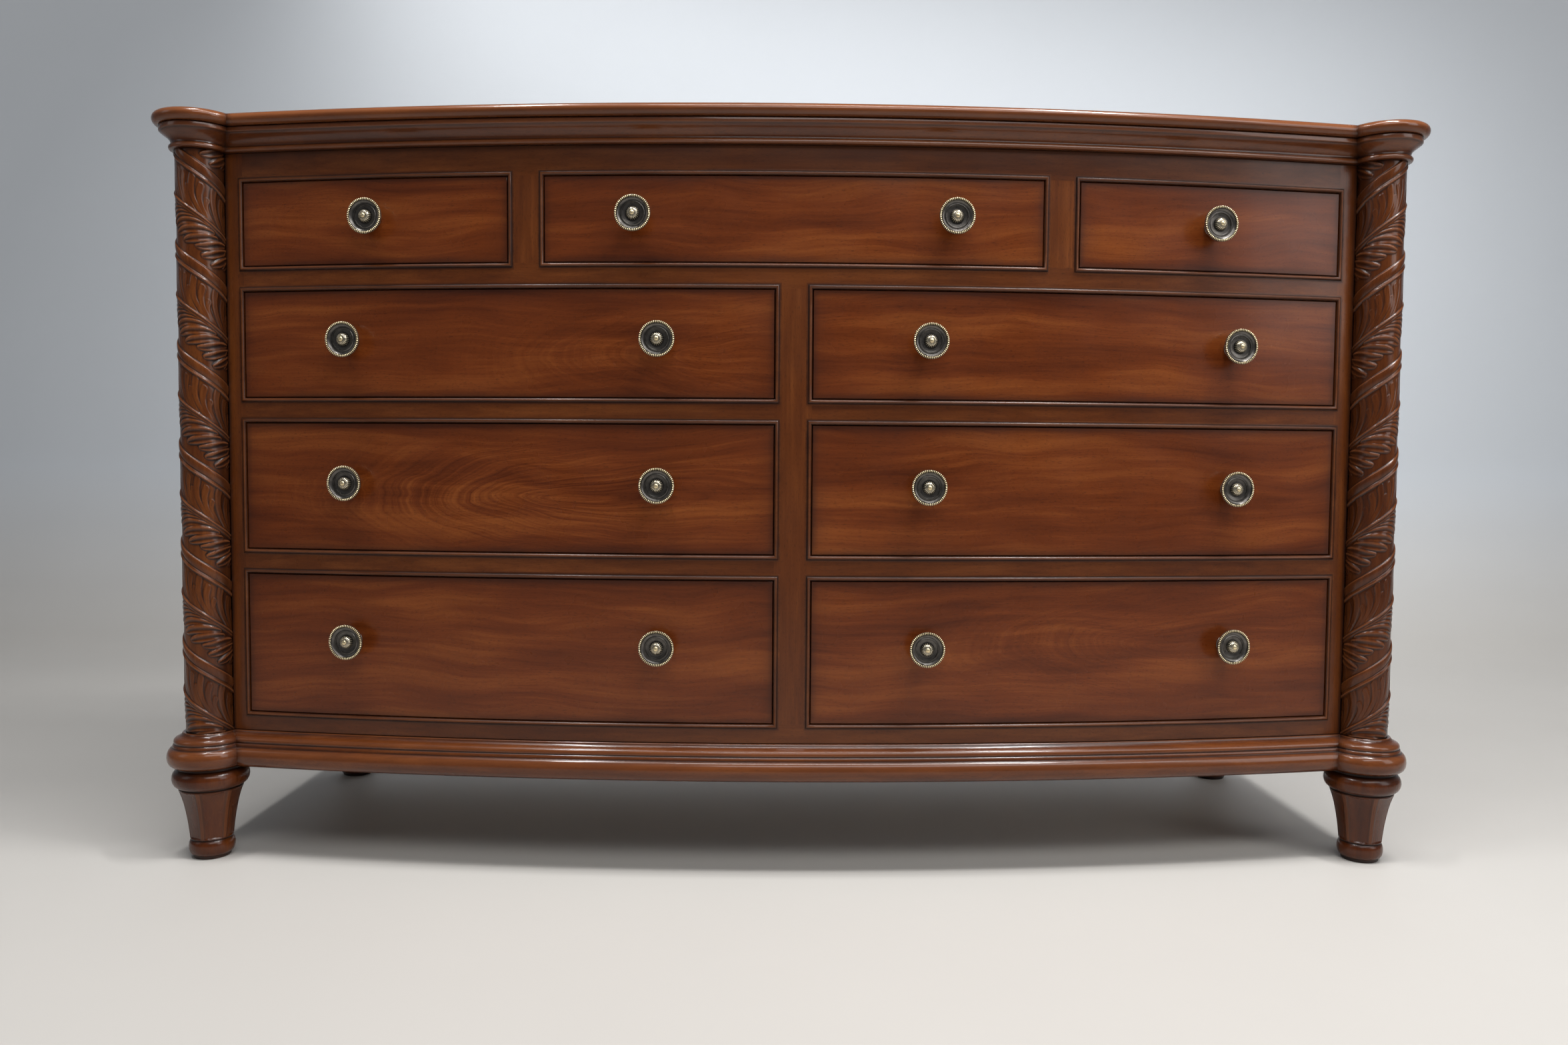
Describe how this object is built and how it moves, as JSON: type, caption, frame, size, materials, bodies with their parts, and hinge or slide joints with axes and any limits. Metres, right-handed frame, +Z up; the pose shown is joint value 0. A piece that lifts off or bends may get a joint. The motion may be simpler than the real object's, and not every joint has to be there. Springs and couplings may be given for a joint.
{
  "type": "dresser",
  "caption": "Bow-front wooden dresser with sliding drawers, spirally carved corner columns, moulded top and base, turned feet and round brass knobs.",
  "frame": {"origin": "centre of the overall bounding box, on the floor", "axes": "+X to the right seen from the front, -Y towards the front, +Z up"},
  "size_m": [1.8012, 0.6, 1.0558],
  "materials": {
    "case_mahogany": "semi-gloss lacquer",
    "dark_mahogany": "semi-gloss lacquer",
    "drawer_front_mahogany": "semi-gloss lacquer",
    "pale_inner_wood": "matte",
    "antique_brass": "aged satin"
  },
  "bodies": {
    "case": {"top_board": "case_mahogany", "cornice_frame": "case_mahogany", "base_frame": "case_mahogany", "column_left": "case_mahogany", "column_right": "case_mahogany", "foot_front_left": "dark_mahogany", "foot_front_right": "dark_mahogany", "foot_rear_left": "dark_mahogany", "foot_rear_right": "dark_mahogany", "post_left": "case_mahogany", "post_right": "case_mahogany", "top_rail": "case_mahogany", "bottom_rail": "case_mahogany", "bottom_board": "pale_inner_wood", "dust_frame_top": "case_mahogany", "dust_frame_upper_left": "case_mahogany", "dust_frame_upper_right": "case_mahogany", "dust_frame_middle_left": "case_mahogany", "dust_frame_middle_right": "case_mahogany", "centre_divider": "case_mahogany", "top_divider_left": "case_mahogany", "top_divider_right": "case_mahogany", "side_panel_left": "case_mahogany", "side_panel_right": "case_mahogany", "back_panel": "pale_inner_wood"},
    "drawer_top_left": {"front_top_left": "drawer_front_mahogany", "box_top_left": "pale_inner_wood", "knob_top_left": "antique_brass"},
    "drawer_top_middle": {"front_top_middle": "drawer_front_mahogany", "box_top_middle": "pale_inner_wood", "knob_top_middle_a": "antique_brass", "knob_top_middle_b": "antique_brass"},
    "drawer_top_right": {"front_top_right": "drawer_front_mahogany", "box_top_right": "pale_inner_wood", "knob_top_right": "antique_brass"},
    "drawer_upper_left": {"front_upper_left": "drawer_front_mahogany", "box_upper_left": "pale_inner_wood", "knob_upper_left_a": "antique_brass", "knob_upper_left_b": "antique_brass"},
    "drawer_upper_right": {"front_upper_right": "drawer_front_mahogany", "box_upper_right": "pale_inner_wood", "knob_upper_right_a": "antique_brass", "knob_upper_right_b": "antique_brass"},
    "drawer_middle_left": {"front_middle_left": "drawer_front_mahogany", "box_middle_left": "pale_inner_wood", "knob_middle_left_a": "antique_brass", "knob_middle_left_b": "antique_brass"},
    "drawer_middle_right": {"front_middle_right": "drawer_front_mahogany", "box_middle_right": "pale_inner_wood", "knob_middle_right_a": "antique_brass", "knob_middle_right_b": "antique_brass"},
    "drawer_lower_left": {"front_lower_left": "drawer_front_mahogany", "box_lower_left": "pale_inner_wood", "knob_lower_left_a": "antique_brass", "knob_lower_left_b": "antique_brass"},
    "drawer_lower_right": {"front_lower_right": "drawer_front_mahogany", "box_lower_right": "pale_inner_wood", "knob_lower_right_a": "antique_brass", "knob_lower_right_b": "antique_brass"}
  },
  "joints": [
    {"name": "slide_top_left", "type": "slide", "parent": "case", "child": "drawer_top_left", "axis": [0, -1, 0], "range_m": [0, 0.34]},
    {"name": "slide_top_middle", "type": "slide", "parent": "case", "child": "drawer_top_middle", "axis": [0, -1, 0], "range_m": [0, 0.34]},
    {"name": "slide_top_right", "type": "slide", "parent": "case", "child": "drawer_top_right", "axis": [0, -1, 0], "range_m": [0, 0.34]},
    {"name": "slide_upper_left", "type": "slide", "parent": "case", "child": "drawer_upper_left", "axis": [0, -1, 0], "range_m": [0, 0.34]},
    {"name": "slide_upper_right", "type": "slide", "parent": "case", "child": "drawer_upper_right", "axis": [0, -1, 0], "range_m": [0, 0.34]},
    {"name": "slide_middle_left", "type": "slide", "parent": "case", "child": "drawer_middle_left", "axis": [0, -1, 0], "range_m": [0, 0.34]},
    {"name": "slide_middle_right", "type": "slide", "parent": "case", "child": "drawer_middle_right", "axis": [0, -1, 0], "range_m": [0, 0.34]},
    {"name": "slide_lower_left", "type": "slide", "parent": "case", "child": "drawer_lower_left", "axis": [0, -1, 0], "range_m": [0, 0.34]},
    {"name": "slide_lower_right", "type": "slide", "parent": "case", "child": "drawer_lower_right", "axis": [0, -1, 0], "range_m": [0, 0.34]}
  ]
}
